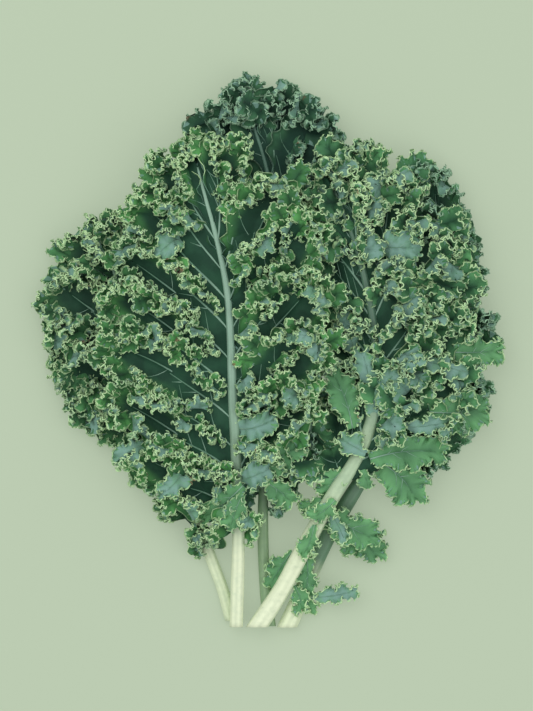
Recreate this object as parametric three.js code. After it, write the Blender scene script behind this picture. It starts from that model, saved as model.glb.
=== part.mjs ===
// A bunch of curly kale, lying on its back on a table: five cut leaves fanned out from where their stalks
// gather. Each leaf is a pale stalk that runs on as the midrib, and a green blade in two halves that meet
// round the midrib's tip. The blade's margin is much longer than its middle, so it is thrown into lobes
// that overlap like shingles, and each lobe's edge is ruffled again. Millimetres. X runs across the bunch,
// Y from the cut ends to the leaf tips, Z up from the table.
import * as THREE from "three";

// The middle of the bunch's outline, measured from the middle of the cut ends. The bunch is set over the
// origin by it.
const BUNCH_MIDDLE = { x: 0.7, y: 191.8 };

const BLADE_THICKNESS = 1;
const RIB_GAP = 0.35; // between a midrib and the blade that grows from it
const TIP_GAP = 3; // the same, past the midrib's tip
const LOWEST_BLADE = 0.02; // the blades that touch the table are pressed flat at this height
const NARROWEST_WING = 3; // the least width of the green wing along a stalk

const STALK_SIDES = 12;
const STALK_STEPS = 24;
const STALK_FLATTENING = 0.86; // a stalk is a little lower than it is wide
const TOP_FLATTENING = 0.2; // how much its upper side is pressed in
const TOP_NARROWNESS = 6; // the larger, the narrower the part pressed in

const RIB_ENDS_AT = 0.93; // where along a margin the rays begin to turn round the midrib's tip
const FOOT_ANGLE = 100; // degrees between the midrib and the rays at the foot of the blade
const RAYS_TURN_LATE = 3; // the larger, the nearer the tip the rays swing forward
const OUTLINE_STEPS = 60;
const SAMPLES_PER_RUFFLE = 4; // along the margin
// The blade's rows of points from the midrib to the margin: how far across each is, and how many of the
// margin's samples it skips, because the blade is smooth inside and tightly waved outside.
const ROWS = [
  { across: 0, every: 4 },
  { across: 0.42, every: 2 },
  { across: 0.74, every: 1 },
  { across: 1, every: 1 },
];

// A blade's waves. Lobes lean along the margin, rise and fall, and their edges are ruffled again.
const LOBE_LEAN = 3.2;
const LEAN_SKEW = 0.35; // how much steeper a lobe's leading side is
const LEAN_GROWTH = 1.6; // power of the way out from midrib to margin
const LOBE_LIFT = 6.2;
const RISE_GROWTH = 1.3;
const RUFFLE_LIFT = 4.2;
const RUFFLE_CURL = 2.8; // how far a ruffle's crest leans back over the blade
const RUFFLE_SWAY = 1.6;
const NOTCH_SHARPNESS = 1.4;
const NOTCH_CALM = 0.9; // how much of its ruffles an edge loses in the notch between two lobes
const FULL_WAVES_AT = 38; // a blade this wide or wider has its full waves
const LOBES_DIFFER = 0.1; // how unlike each other the lobes are
const LOBE_TO_LOBE = 2.4; // radians between one lobe's draw and the next

// One entry for each leaf. rib: the stalk's and midrib's centre line from the cut end to its tip. radius:
// the stalk's at the cut end and at the tip. bladeFrom: where on the rib the blade begins, as a share of
// its length. reach: the blade's width on each side, and rise: its margin's height over the rib, at equal
// steps from the blade's foot to its tip.
const LEAVES = [
  {
    name: "front_left",
    rib: [
      [-20.6, 1.4, 11.4], [-19.2, 48.6, 20], [-19.2, 89.7, 32], [-20.6, 124, 39], [-22.6, 158.2, 43],
      [-24, 199.3, 44], [-26.7, 233.6, 44], [-33.6, 267.8, 42.5], [-41.1, 295.2, 40.5], [-46.6, 317.2, 38],
    ],
    radius: [4.5, 1.1],
    bladeFrom: 0.24,
    ruffles: 4,
    left: { lobes: 9, reach: [24, 74, 92, 92, 82, 50, 18], rise: [0, -3, -5, -6, -6, -4, 0], depth: 0.34 },
    right: { lobes: 8, reach: [9, 36, 66, 74, 78, 50, 18], rise: [0, 5, 16, 18, 17, 9, 0], depth: 0.34 },
    seed: 1.3,
  },
  {
    name: "front_right",
    rib: [
      [-6.2, 1.4, 12.3], [10.3, 26.7, 15], [23.3, 51.4, 22], [34.9, 73.3, 28], [47.3, 95.2, 32],
      [60.3, 115.8, 34], [70.6, 139.1, 34], [75.4, 168.5, 34], [74.7, 199.3, 34], [69.2, 233.6, 34],
      [61.7, 262.4, 33.5], [53.4, 285, 33], [46.6, 302, 32],
    ],
    radius: [6.2, 1.3],
    bladeFrom: 0.12,
    ruffles: 4,
    left: { lobes: 7, reach: [9, 15, 36, 46, 48, 44, 26], rise: [0, 0, -1, -2, -2, -1, 0], depth: 0.45 },
    right: { lobes: 11, reach: [9, 30, 52, 68, 76, 60, 26], rise: [0, 0, 0, 0, 0, 0, 0], depth: 0.45 },
    seed: 2.9,
  },
  {
    name: "back_middle",
    rib: [
      [2.7, 1.4, 3.2], [0, 21.2, 3.1], [-2, 55.5, 4.3], [-2, 89.7, 8], [0, 130.8, 9.6],
      [4.1, 185.6, 9.6], [6.8, 240.4, 9.6], [5.5, 281.5, 9.6], [0.7, 315.8, 9.6], [-8.2, 346.6, 9.6],
      [-13, 360.3, 9.6],
    ],
    radius: [4, 1.1],
    bladeFrom: 0.26,
    ruffles: 3,
    left: { lobes: 8, reach: [8, 28, 37, 44, 54, 44, 20], rise: [0, 0, 0, 0, 0, 0, 0], depth: 0.34 },
    right: { lobes: 8, reach: [8, 38, 42, 46, 60, 44, 20], rise: [0, 0, 0, 0, 0, 0, 0], depth: 0.34 },
    seed: 4.1,
  },
  {
    name: "back_left",
    rib: [
      [-24, 5, 3.4], [-30.1, 26.7, 3.2], [-37.7, 47.3, 3.6], [-43.2, 62.3, 5.4], [-52.1, 89.7, 8.4],
      [-64.4, 124, 9.8], [-78.1, 161.7, 10], [-91.8, 202.8, 10], [-103.4, 240.4, 10],
      [-112.3, 273.3, 10],
    ],
    radius: [4.2, 1.1],
    bladeFrom: 0.2,
    ruffles: 3,
    left: { lobes: 8, reach: [7, 28, 46, 62, 66, 42, 22], rise: [0, 0, 0, 0, 0, 0, 0], depth: 0.34 },
    right: { lobes: 6, reach: [7, 22, 30, 33, 38, 38, 22], rise: [0, 0, 0, 0, 0, 0, 0], depth: 0.34 },
    seed: 5.7,
  },
  {
    name: "back_right",
    rib: [
      [14.4, 0.7, 5.1], [23.3, 20.6, 4.9], [35.6, 43.2, 5.2], [54.1, 72.6, 8.2], [72.6, 103.4, 10.6],
      [90.4, 137.7, 11], [105.5, 178.8, 11], [116.5, 219.9, 11], [120.6, 261, 11], [117.8, 291.8, 11],
    ],
    radius: [6.3, 1.2],
    bladeFrom: 0.05,
    ruffles: 3,
    left: { lobes: 7, reach: [8, 12, 20, 30, 40, 42, 24], rise: [0, 0, 0, 0, 0, 0, 0], depth: 0.4 },
    right: { lobes: 9, reach: [12, 22, 34, 54, 46, 32, 22], rise: [0, 0, 0, 0, 0, 0, 0], depth: 0.4 },
    seed: 7.2,
  },
];

const stalkPaint = new THREE.MeshStandardMaterial({ color: 0xc3d8ab, roughness: 0.45, metalness: 0 });
const bladePaint = new THREE.MeshStandardMaterial({ color: 0x3f7350, roughness: 0.6, metalness: 0 });

const up = new THREE.Vector3(0, 0, 1);

// The value at s, from 0 to 1, on a smooth curve through equally spaced values.
function along(values, s) {
  const curve = new THREE.SplineCurve(values.map((value, i) => new THREE.Vector2(i, value)));
  return curve.getPoint(s).y;
}

// The place, level heading and leftward direction on a leaf's rib at v, a share of its length.
function ribAt(leaf, v) {
  const place = leaf.curve.getPointAt(v);
  const heading = leaf.curve.getTangentAt(v).setZ(0).normalize();
  const leftward = new THREE.Vector3().crossVectors(up, heading);
  const radius = THREE.MathUtils.lerp(leaf.radius[0], leaf.radius[1], v);
  return { place, heading, leftward, radius };
}

// A level direction at an angle from a leaf's heading, turned towards one side: 1 is the left and -1 the
// right.
function level(rib, side, angle) {
  return rib.heading
    .clone()
    .multiplyScalar(Math.cos(angle))
    .addScaledVector(rib.leftward, side * Math.sin(angle));
}

// The rib, and the angle of the ray across the blade, at s from the blade's foot to its tip.
function rayAt(leaf, s) {
  const rib = ribAt(leaf, THREE.MathUtils.lerp(leaf.bladeFrom, 1, Math.min(1, s / RIB_ENDS_AT)));
  return { rib, rayAngle: THREE.MathUtils.degToRad(FOOT_ANGLE) * (1 - s ** RAYS_TURN_LATE) };
}

// The plain outline of one half of a blade, before its lobes. Lobes are spaced evenly along it.
function outlineOf(leaf, side) {
  const half = side > 0 ? leaf.left : leaf.right;
  const points = [];
  for (let i = 0; i <= OUTLINE_STEPS; i++) {
    const { rib, rayAngle } = rayAt(leaf, i / OUTLINE_STEPS);
    points.push(rib.place.addScaledVector(level(rib, side, rayAngle), along(half.reach, i / OUTLINE_STEPS)));
  }
  return new THREE.CatmullRomCurve3(points);
}

// The point of one half of a blade at a share of its margin's length, from foot to tip, and t from midrib
// to margin.
function bladePoint(leaf, side, share, t) {
  const half = side > 0 ? leaf.left : leaf.right;
  const s = half.outline.getUtoTmapping(share);
  const { rib, rayAngle } = rayAt(leaf, s);
  const ray = level(rib, side, rayAngle);
  const forward = level(rib, side, rayAngle - Math.PI / 2);

  // Where the blade leaves the rib: beside it, and round its tip at the end.
  const turn = (Math.PI / 2) * (1 - Math.max(0, (s - RIB_ENDS_AT) / (1 - RIB_ENDS_AT)));
  const beside = rib.radius + RIB_GAP + BLADE_THICKNESS / 2;
  const point = rib.place.clone().addScaledVector(level(rib, side, turn), beside);

  // The phase is 0 in the middle of a lobe and pi in the notch between two, where the edge is calmer.
  const phase = 2 * Math.PI * half.lobes * share;
  const lobe = Math.round(half.lobes * share);
  const unlike = 1 + LOBES_DIFFER * Math.sin(LOBE_TO_LOBE * lobe + leaf.seed + side);
  const notch = (1 - Math.cos(phase)) / 2;
  const plainReach = along(half.reach, s);
  const reach = Math.max(plainReach * (1 - half.depth * notch ** NOTCH_SHARPNESS), NARROWEST_WING + rib.radius);
  const waves = Math.min(1, plainReach / FULL_WAVES_AT) * unlike;
  const calm = 1 - NOTCH_CALM * notch;

  const ruffle = leaf.ruffles * phase + leaf.seed * notch;
  const curl = calm * (RUFFLE_SWAY * Math.cos(ruffle) - RUFFLE_CURL * Math.sin(ruffle)) * t ** 3;
  const lean = LOBE_LEAN * (Math.sin(phase) - LEAN_SKEW * Math.sin(2 * phase)) * t ** LEAN_GROWTH;
  const lift = LOBE_LIFT * Math.sin(phase) * t ** 2 + RUFFLE_LIFT * calm * Math.sin(ruffle) * t ** 3;

  point.addScaledVector(ray, (reach - rib.radius) * t + waves * curl);
  point.addScaledVector(forward, waves * lean);
  point.z += along(half.rise, s) * t ** RISE_GROWTH + waves * lift;
  return point.setZ(Math.max(point.z, LOWEST_BLADE + BLADE_THICKNESS / 2));
}

// Joins a row of points to the next, which has as many points or twice as many, in triangles that face up.
function joinRows(inner, outer, triangle) {
  const finer = (outer.length - 1) / (inner.length - 1);
  for (let i = 0; i < inner.length - 1; i++) {
    const fan = outer.slice(i * finer, (i + 1) * finer + 1);
    const middle = Math.floor(finer / 2);
    for (let k = 0; k < finer; k++) triangle(k < middle ? inner[i] : inner[i + 1], fan[k + 1], fan[k]);
    triangle(inner[i], inner[i + 1], fan[middle]);
  }
}

// The blade as one sheet that runs up its left half, round the midrib's tip and down its right half, given
// thickness square to its surface. Both faces are split alike, so that they never cross.
function bladeGeometry(leaf) {
  const perLobe = leaf.ruffles * SAMPLES_PER_RUFFLE;
  const tip = leaf.left.lobes * perLobe;
  const columns = tip + leaf.right.lobes * perLobe;
  const pointAt = (i, t) =>
    i <= tip ? bladePoint(leaf, 1, i / tip, t) : bladePoint(leaf, -1, (columns - i) / (columns - tip), t);
  const positions = [];
  const place = (side) =>
    ROWS.map(({ across, every }, j) => {
      const row = [];
      const inward = ROWS[Math.max(j - 1, 0)].across;
      const outward = ROWS[Math.min(j + 1, ROWS.length - 1)].across;
      for (let i = 0; i <= columns; i += every) {
        const onward = pointAt(Math.min(i + 1, columns), across).sub(pointAt(Math.max(i - 1, 0), across));
        const square = onward.cross(pointAt(i, outward).sub(pointAt(i, inward))).normalize();
        const point = pointAt(i, across).addScaledVector(square, (side * BLADE_THICKNESS) / 2);
        row.push(positions.length / 3);
        positions.push(point.x, point.y, Math.max(point.z, LOWEST_BLADE));
      }
      return row;
    });
  const upper = place(1);
  const lower = place(-1);

  const index = [];
  const facingUp = (a, b, c) => index.push(a, b, c);
  const facingDown = (a, b, c) => index.push(a, c, b);
  for (let j = 0; j < ROWS.length - 1; j++) {
    joinRows(upper[j], upper[j + 1], facingUp);
    joinRows(lower[j], lower[j + 1], facingDown);
  }
  // The edge all round: along the rib, out along the last ray, back along the margin and in along the first
  // ray.
  const round = (rows) => [
    ...rows[0],
    ...rows.slice(1).map((row) => row[row.length - 1]),
    ...rows[ROWS.length - 1].slice(0, -1).reverse(),
    ...rows.slice(1, -1).reverse().map((row) => row[0]),
  ];
  const upperEdge = round(upper);
  const lowerEdge = round(lower);
  upperEdge.forEach((a, k) => {
    const next = (k + 1) % upperEdge.length;
    index.push(a, lowerEdge[next], upperEdge[next], a, lowerEdge[k], lowerEdge[next]);
  });

  const geometry = new THREE.BufferGeometry();
  geometry.setAttribute("position", new THREE.Float32BufferAttribute(positions, 3));
  geometry.setIndex(index);
  return geometry;
}

// The stalk and midrib: rings of a low section with a flattened top along the rib, closed at both ends, and
// flat where they lie on the table.
function stalkGeometry(leaf) {
  const positions = [];
  const share = 1 - TIP_GAP / leaf.curve.getLength();
  for (let i = 0; i <= STALK_STEPS; i++) {
    const v = (share * i) / STALK_STEPS;
    const { place, leftward, radius } = ribAt(leaf, v);
    const heading = leaf.curve.getTangentAt(v);
    const upward = new THREE.Vector3().crossVectors(heading, leftward);
    for (let k = 0; k < STALK_SIDES; k++) {
      const angle = (2 * Math.PI * (k + 0.5)) / STALK_SIDES;
      const flattened = 1 - TOP_FLATTENING * Math.max(0, Math.sin(angle)) ** TOP_NARROWNESS;
      const p = place
        .clone()
        .addScaledVector(leftward, radius * Math.cos(angle))
        .addScaledVector(upward, radius * STALK_FLATTENING * flattened * Math.sin(angle));
      positions.push(p.x, p.y, Math.max(p.z, 0));
    }
  }
  const index = [];
  const at = (i, k) => i * STALK_SIDES + (k % STALK_SIDES);
  for (let i = 0; i < STALK_STEPS; i++) {
    for (let k = 0; k < STALK_SIDES; k++) {
      index.push(at(i, k), at(i, k + 1), at(i + 1, k + 1), at(i, k), at(i + 1, k + 1), at(i + 1, k));
    }
  }
  for (let k = 1; k < STALK_SIDES - 1; k++) {
    index.push(at(0, 0), at(0, k + 1), at(0, k));
    index.push(at(STALK_STEPS, 0), at(STALK_STEPS, k), at(STALK_STEPS, k + 1));
  }
  const geometry = new THREE.BufferGeometry();
  geometry.setAttribute("position", new THREE.Float32BufferAttribute(positions, 3));
  geometry.setIndex(index);
  return geometry;
}

function named(name, geometry, paint) {
  geometry.computeVertexNormals();
  const mesh = new THREE.Mesh(geometry, paint);
  mesh.name = name;
  return mesh;
}

const bunch = new THREE.Group();
bunch.name = "kale_bunch";
bunch.position.set(-BUNCH_MIDDLE.x, -BUNCH_MIDDLE.y, 0);
for (const leaf of LEAVES) {
  leaf.curve = new THREE.CatmullRomCurve3(leaf.rib.map((p) => new THREE.Vector3(...p)));
  leaf.left.outline = outlineOf(leaf, 1);
  leaf.right.outline = outlineOf(leaf, -1);
  bunch.add(named(`stalk_${leaf.name}`, stalkGeometry(leaf), stalkPaint));
  bunch.add(named(`blade_${leaf.name}`, bladeGeometry(leaf), bladePaint));
}

export default bunch;
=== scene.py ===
"""A bunch of curly kale lying on a pale table, seen from straight above."""

import math

import bpy
import numpy as np
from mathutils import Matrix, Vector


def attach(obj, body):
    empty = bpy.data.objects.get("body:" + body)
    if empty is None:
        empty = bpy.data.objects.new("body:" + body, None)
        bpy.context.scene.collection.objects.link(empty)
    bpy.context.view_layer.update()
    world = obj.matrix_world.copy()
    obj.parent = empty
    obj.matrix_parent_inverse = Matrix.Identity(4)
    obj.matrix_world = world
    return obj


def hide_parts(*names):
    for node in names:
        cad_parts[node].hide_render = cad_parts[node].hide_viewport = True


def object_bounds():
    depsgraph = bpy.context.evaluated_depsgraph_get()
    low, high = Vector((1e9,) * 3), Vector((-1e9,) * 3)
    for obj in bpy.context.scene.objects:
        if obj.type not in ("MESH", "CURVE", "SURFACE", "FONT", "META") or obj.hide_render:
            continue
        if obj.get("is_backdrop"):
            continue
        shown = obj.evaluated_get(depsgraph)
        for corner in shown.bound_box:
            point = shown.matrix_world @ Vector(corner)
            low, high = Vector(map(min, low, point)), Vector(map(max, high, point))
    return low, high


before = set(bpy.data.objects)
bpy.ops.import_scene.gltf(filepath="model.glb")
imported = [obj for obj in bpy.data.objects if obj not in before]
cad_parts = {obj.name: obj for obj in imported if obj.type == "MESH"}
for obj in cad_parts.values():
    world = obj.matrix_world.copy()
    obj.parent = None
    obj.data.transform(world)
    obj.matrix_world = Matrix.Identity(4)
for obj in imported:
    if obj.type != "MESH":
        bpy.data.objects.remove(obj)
cad_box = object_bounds()

MM = 0.001

# Stalks and midribs. Each leaf has one pale, juicy stalk, cut off at its thick end, that runs on through
# the blade as the midrib. The stalks lie beside and on each other where the bunch was gathered, and each is
# one lofted skin with fine ridges along it.
BUNCH_MIDDLE = np.array([0.7, 191.8, 0.0])

# What the three leaves behind share. They are seen only at their edges.
LEVEL = (0, 0, 0, 0, 0, 0, 0)
BACK_LEAF = {
    "drop": 2,
    "fan_spacing": 12.5,
    "fan_size": 8.4,
    "fan_step": 1.9,
    "fan_loops": 0.95,
    "leans": (-8, 8, 62, 80, 105),
    "calm_until": 0,
}
# Lengths are in mm and turns in degrees. Shares run from 0 to 1.
# rib: the centre line from the cut end to the leaf's tip. radius: at the cut end and at the tip.
# blade_from: the share of the rib below the blade. reach and rise: the blade's width on each side and its
# margin's height over the rib, at equal steps from the blade's foot to its tip. drop: how far all of its
# margin hangs. web_from: the share of the blade where its smooth web starts. lobes_above: no lobe ends below
# this y. fan_spacing, fan_size, fan_step: the fans' distance, half width and mesh step. fan_loops: their
# ruffles' size. leans: how far fans stand up, from the flattest to the most curled. fans_start: the share of
# a lobe's edge without fans, from its foot. calm_until: the share of the blade, from its foot, with larger
# and calmer fans. midrib_shows: how far fans stay off the midrib, between the two values of y in midrib_seen.
LEAVES = {
    "front_left": {
        "rib": [(-20.6, 1.4, 11.4), (-19.2, 48.6, 20), (-19.2, 89.7, 32), (-20.6, 124, 39),
                (-22.6, 158.2, 43), (-24, 199.3, 44), (-26.7, 233.6, 44), (-33.6, 267.8, 42.5),
                (-41.1, 295.2, 40.5), (-46.6, 317.2, 38)],
        "radius": (4.7, 1.0),
        "blade_from": 0.24,
        "left": {"lobes": 9, "reach": (24, 74, 92, 92, 82, 50, 18), "rise": (0, -3, -5, -6, -6, -4, 0)},
        "right": {"lobes": 8, "reach": (9, 36, 66, 74, 78, 50, 18), "rise": (0, 4, 12, 13, 12, 7, 0)},
        "fan_spacing": 9.8,
        "fan_size": 7.1,
        "fan_step": 1.26,
        "fan_loops": 0.85,
        "leans": (0, 18, 68, 86, 104),
        "fans_start": 0.17,
        "calm_until": 0,
        "drop": 9,
        "midrib_shows": 7,
        "midrib_seen": (106, 400),
        "web_from": 0.0,
        "lobes_above": 58,
        "seed": 11,
    },
    "front_right": {
        "rib": [(-6.2, 1.4, 12.3), (10.3, 26.7, 15), (23.3, 51.4, 22), (34.9, 73.3, 28), (47.3, 95.2, 32),
                (60.3, 115.8, 34), (70.6, 139.1, 34), (75.4, 168.5, 34), (74.7, 199.3, 34), (69.2, 233.6, 34),
                (61.7, 262.4, 33.5), (53.4, 285, 33), (46.6, 302, 32)],
        "radius": (6.3, 1.1),
        "blade_from": 0.12,
        "left": {"lobes": 7, "reach": (9, 15, 36, 46, 48, 44, 26), "rise": (0, 0, -5, -9, -10, -6, 0)},
        "right": {"lobes": 11, "reach": (9, 30, 52, 68, 76, 60, 26), "rise": LEVEL},
        "fan_spacing": 11.5,
        "fan_size": 8.7,
        "fan_step": 1.36,
        "fan_loops": 1.14,
        "leans": (-4, 14, 66, 84, 118),
        "fans_start": 0.12,
        "calm_until": 0.42,
        "drop": 6,
        "midrib_shows": 7,
        "midrib_seen": (60, 152),
        "web_from": 0.27,
        "lobes_above": 112,
        "seed": 23,
    },
    "back_middle": {
        "rib": [(2.7, 1.4, 3.2), (0, 21.2, 3.1), (-2, 55.5, 4.3), (-2, 89.7, 8), (0, 130.8, 9.6),
                (4.1, 185.6, 9.6), (6.8, 240.4, 9.6), (5.5, 281.5, 9.6), (0.7, 315.8, 9.6),
                (-8.2, 346.6, 9.6), (-13, 360.3, 9.6)],
        "radius": (4.0, 1.1),
        "blade_from": 0.26,
        "left": {"lobes": 8, "reach": (8, 28, 37, 44, 54, 44, 20), "rise": LEVEL},
        "right": {"lobes": 8, "reach": (8, 38, 42, 46, 64, 54, 26), "rise": LEVEL},
        **BACK_LEAF,
        "fans_start": 0.14,
        "midrib_shows": 19,
        "midrib_seen": (150, 350),
        "web_from": 0.0,
        "lobes_above": 58,
        "seed": 37,
    },
    "back_left": {
        "rib": [(-24, 5, 3.4), (-30.1, 26.7, 3.2), (-37.7, 47.3, 3.6), (-43.2, 62.3, 5.4), (-52.1, 89.7, 8.4),
                (-64.4, 124, 9.8), (-78.1, 161.7, 10), (-91.8, 202.8, 10), (-103.4, 240.4, 10),
                (-112.3, 273.3, 10)],
        "radius": (4.2, 1.1),
        "blade_from": 0.2,
        "left": {"lobes": 8, "reach": (7, 28, 46, 62, 66, 42, 22), "rise": LEVEL},
        "right": {"lobes": 6, "reach": (7, 22, 30, 33, 38, 38, 22), "rise": LEVEL},
        **BACK_LEAF,
        "fans_start": 0.2,
        "midrib_shows": 0,
        "midrib_seen": (0, 0),
        "web_from": 0.0,
        "lobes_above": 58,
        "seed": 41,
    },
    "back_right": {
        "rib": [(14.4, 0.7, 5.1), (23.3, 20.6, 4.9), (32.5, 43.2, 5.2), (47.5, 72.6, 8.2), (66, 103.4, 10.6),
                (87.5, 137.7, 11), (105.5, 178.8, 11), (116.5, 219.9, 11), (120.6, 261, 11),
                (117.8, 291.8, 11)],
        "radius": (6.3, 1.2),
        "blade_from": 0.05,
        "left": {"lobes": 7, "reach": (8, 12, 20, 30, 40, 42, 33), "rise": LEVEL},
        "right": {"lobes": 9, "reach": (12, 22, 34, 54, 46, 32, 22), "rise": LEVEL},
        **BACK_LEAF,
        "fans_start": 0.2,
        "midrib_shows": 0,
        "midrib_seen": (0, 0),
        "web_from": 0.33,
        "lobes_above": 114,
        "seed": 53,
    },
}

STALK_SIDES = 28
STALK_STEPS = 90
STALK_FLATTENING = 0.86
STALK_TAPER = 1.35
RIDGES = 7
RIDGE_HEIGHT = 0.02
# The bunch was cut straight across, so each cut is level with the others. It turns within this share.
CUT_SHARE = 0.05
# How dark the streaks along the skin are, as a share of its middle colour, and how much of them shows.
STREAK_DARK = 0.62
STREAK_SHOWS = 0.2


def through(values, s):
    """A smooth curve through equally spaced values, at s from 0 to 1."""
    values = np.asarray(values, float)
    padded = np.concatenate([values[:1], values, values[-1:]])
    place = np.clip(np.asarray(s, float), 0, 1) * (len(values) - 1)
    i = np.minimum(place.astype(int), len(values) - 2)
    f = place - i
    if values.ndim > 1:
        f = f[..., None]
    p0, p1, p2, p3 = (padded[i + k] for k in range(4))
    bend = (2 * p0 - 5 * p1 + 4 * p2 - p3) * f**2 + (3 * p1 - p0 - 3 * p2 + p3) * f**3
    return 0.5 * (2 * p1 + (p2 - p0) * f + bend)


def arc_length(points):
    """The distance along a row of points, from 0."""
    steps = np.linalg.norm(np.diff(points, axis=0), axis=-1)
    return np.concatenate([[0], np.cumsum(steps)])


def unit(vectors):
    return vectors / np.maximum(np.linalg.norm(vectors, axis=-1, keepdims=True), 1e-9)


class Rib:
    """A centre line that can be asked for its place and heading at any share of its length."""

    def __init__(self, points):
        self.points = np.asarray(points, float)
        arc = arc_length(self.points)
        self.length = arc[-1]
        self.share = arc / self.length

    def at(self, v):
        return np.stack([np.interp(v, self.share, self.points[:, k]) for k in range(3)], axis=-1)

    def tangent(self, v):
        return unit(self.at(np.minimum(v + 0.01, 1)) - self.at(np.maximum(v - 0.01, 0)))

    def level(self, v):
        """The level heading and the direction to its left."""
        heading = self.tangent(v) * (1, 1, 0)
        heading = unit(heading)
        return heading, np.stack([-heading[..., 1], heading[..., 0], 0 * heading[..., 0]], axis=-1)


def mesh_piece(name, points, faces, attributes, material, flat=0):
    """A mesh object from points in mm with named numbers for each point. Its last faces can be flat ones."""
    mesh = bpy.data.meshes.new(name)
    mesh.from_pydata(((points - BUNCH_MIDDLE) * MM).tolist(), [], faces.tolist())
    for key, values in attributes.items():
        layer = mesh.attributes.new(key, "FLOAT", "POINT")
        layer.data.foreach_set("value", np.asarray(values, np.float32))
    mesh.polygons.foreach_set("use_smooth", np.arange(len(faces)) < len(faces) - flat)
    piece = bpy.data.objects.new(name, mesh)
    bpy.context.scene.collection.objects.link(piece)
    piece.data.materials.append(material)
    return piece


def tube(rib, radius_at, steps, sides, flattening=1.0, ridge=None):
    """Rings along a rib, closed at both ends: points, faces and how far along each point is."""
    v = np.linspace(0, 1, steps)
    angle = 2 * np.pi * (np.arange(sides) + 0.5) / sides
    heading = rib.tangent(v)
    leftward = rib.level(v)[1]
    upward = np.cross(heading, leftward)
    radius = radius_at(v)[:, None]
    if ridge is not None:
        radius = radius * ridge(v[:, None], angle[None, :])
    across = (radius * np.cos(angle))[..., None] * leftward[:, None, :]
    above = (radius * flattening * np.sin(angle))[..., None] * upward[:, None, :]
    rings = rib.at(v)[:, None, :] + across + above
    i, k = np.meshgrid(np.arange(steps - 1), np.arange(sides), indexing="ij")
    a, b = i * sides + k, i * sides + (k + 1) % sides
    c, d = a + sides, b + sides
    walls = np.stack([a, b, d, a, d, c], axis=-1).reshape(-1, 3)
    ends = []
    for start, centre, turn in ((0, steps * sides, -1), ((steps - 1) * sides, steps * sides + 1, 1)):
        ring = start + np.arange(sides)
        ends.append(np.stack([np.full(sides, centre), ring, np.roll(ring, -1)], axis=-1)[:, ::turn])
    points = np.concatenate([rings.reshape(-1, 3), rib.at(np.array([0, 1]))])
    share = np.concatenate([np.repeat(v, sides), [0, 1]])
    return points, np.concatenate([walls, *ends]), share


def feed(links, socket, value):
    """Sets a socket to a number or a colour, or links another socket to it."""
    if isinstance(value, bpy.types.NodeSocket):
        links.new(value, socket)
    elif isinstance(value, tuple):
        socket.default_value = (*value, 1)
    else:
        socket.default_value = value


class Effect:
    """A shader node group in the making, with its nodes, its given inputs and its results."""

    def __init__(self, name, colours, numbers, results):
        self.tree = bpy.data.node_groups.new(name, "ShaderNodeTree")
        for in_out, kind, keys in (
            ("INPUT", "NodeSocketColor", colours),
            ("INPUT", "NodeSocketFloat", numbers),
            ("OUTPUT", "NodeSocketColor", results[:1]),
            ("OUTPUT", "NodeSocketFloat", results[1:]),
        ):
            for key in keys:
                self.tree.interface.new_socket(key, in_out=in_out, socket_type=kind)
        self.given = self.tree.nodes.new("NodeGroupInput").outputs
        self.result = self.tree.nodes.new("NodeGroupOutput").inputs

    def node(self, kind, settings, values, result):
        """A node with settings and with values for its inputs. Gives one of its outputs."""
        node = self.tree.nodes.new(kind)
        for key, setting in settings.items():
            setattr(node, key, setting)
        for key, value in values.items():
            feed(self.tree.links, node.inputs[key], value)
        return node.outputs[result]

    def attribute(self, name):
        return self.node("ShaderNodeAttribute", {"attribute_name": name}, {}, "Fac")

    def mix(self, factor, a, b, blend="MIX"):
        """A colour between a and b, each a colour or a socket."""
        values = {"Factor": factor, "A": a, "B": b}
        return self.node("ShaderNodeMix", {"data_type": "RGBA", "blend_type": blend}, values, "Result")

    def ramp(self, value, low, high, at_low, at_high, kind="SMOOTHSTEP"):
        """A step from at_low to at_high as the value goes from low to high."""
        values = dict(enumerate((value, low, high, at_low, at_high)))
        return self.node("ShaderNodeMapRange", {"interpolation_type": kind}, values, "Result")

    def times(self, a, b):
        return self.node("ShaderNodeMath", {"operation": "MULTIPLY"}, {0: a, 1: b}, "Value")

    def cloud(self, scale, detail):
        """Soft random patches, so many to the metre."""
        place = self.node("ShaderNodeTexCoord", {}, {}, "Object")
        return self.node("ShaderNodeTexNoise", {}, {"Scale": scale, "Detail": detail, "Vector": place}, "Fac")

    def put_out(self, results):
        for key, socket in results.items():
            self.tree.links.new(socket, self.result[key])


def painted(name, effect, values, bump_strength, bump_distance):
    """A material with an effect's colour and relief: the material, its shader, the effect and the links."""
    material = bpy.data.materials.new(name)
    material.use_nodes = True
    nodes, links = material.node_tree.nodes, material.node_tree.links
    shader = nodes["Principled BSDF"]
    skin = nodes.new("ShaderNodeGroup")
    skin.node_tree = effect.tree
    for key, value in values.items():
        feed(links, skin.inputs[key], value)
    links.new(skin.outputs["Colour"], shader.inputs["Base Color"])
    bump = nodes.new("ShaderNodeBump")
    bump.inputs["Strength"].default_value = bump_strength
    bump.inputs["Distance"].default_value = bump_distance
    links.new(skin.outputs["Height"], bump.inputs["Height"])
    links.new(bump.outputs["Normal"], shader.inputs["Normal"])
    return material, shader, skin, links


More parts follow.
